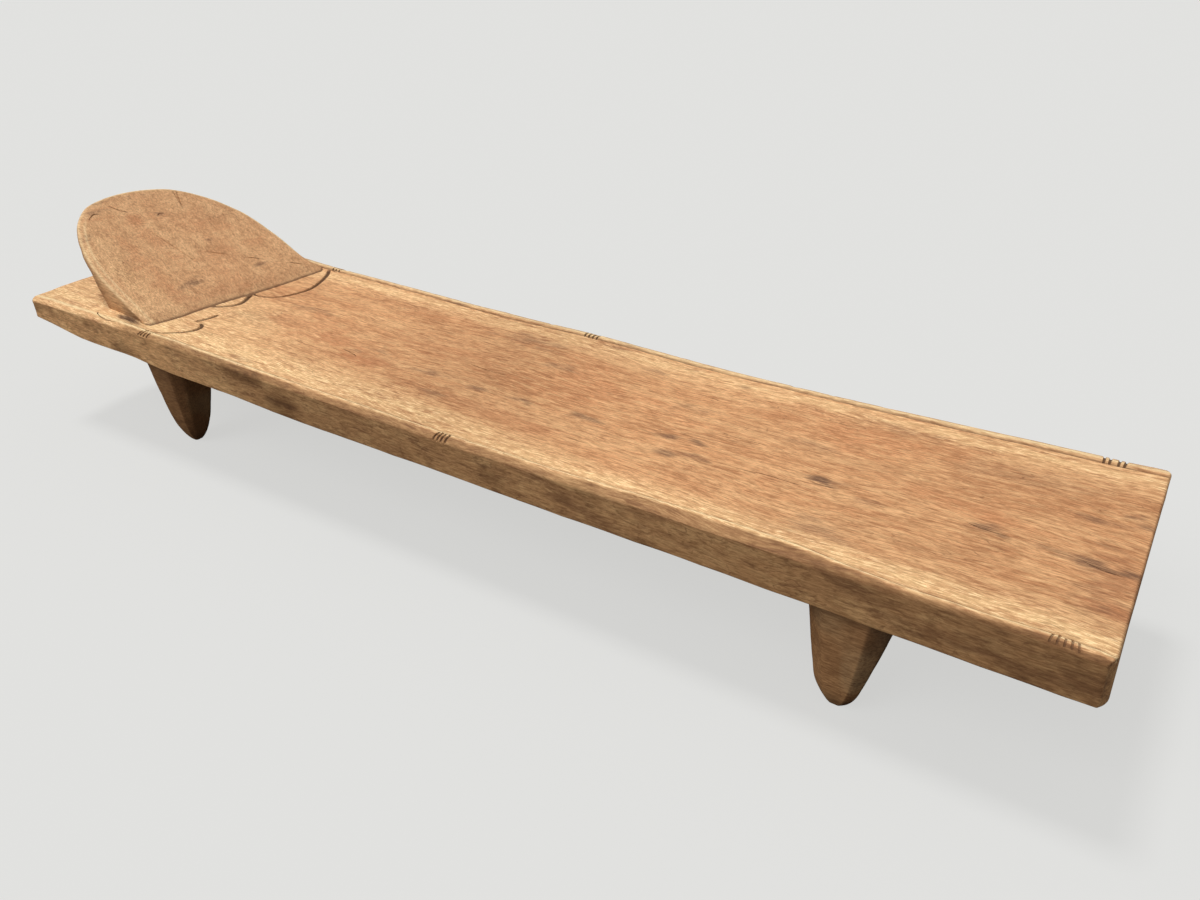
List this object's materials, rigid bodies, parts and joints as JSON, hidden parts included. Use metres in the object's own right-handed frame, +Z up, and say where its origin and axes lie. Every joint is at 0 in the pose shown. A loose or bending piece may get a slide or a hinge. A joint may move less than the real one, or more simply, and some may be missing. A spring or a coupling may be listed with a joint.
{
  "type": "daybed",
  "caption": "Low carved hardwood daybed: long dished deck with raised notched rims, leaning D-shaped head panel and tapering legs.",
  "frame": {"origin": "on the floor, under the middle of the daybed's box", "axes": "+X along the bed from the head panel to the foot end, +Y to the left of a person lying on their back with their head on the panel, +Z up"},
  "size_m": [2.048, 0.5122, 0.4172],
  "materials": {
    "deck_wood": "weathered matte, unvarnished",
    "headrest_wood": "weathered matte, unvarnished",
    "leg_wood": "weathered matte, darker with age"
  },
  "bodies": {
    "root": {"deck": "deck_wood", "headrest": "headrest_wood", "leg_head_left": "leg_wood", "leg_head_right": "leg_wood", "leg_foot_left": "leg_wood", "leg_foot_right": "leg_wood"}
  },
  "joints": []
}
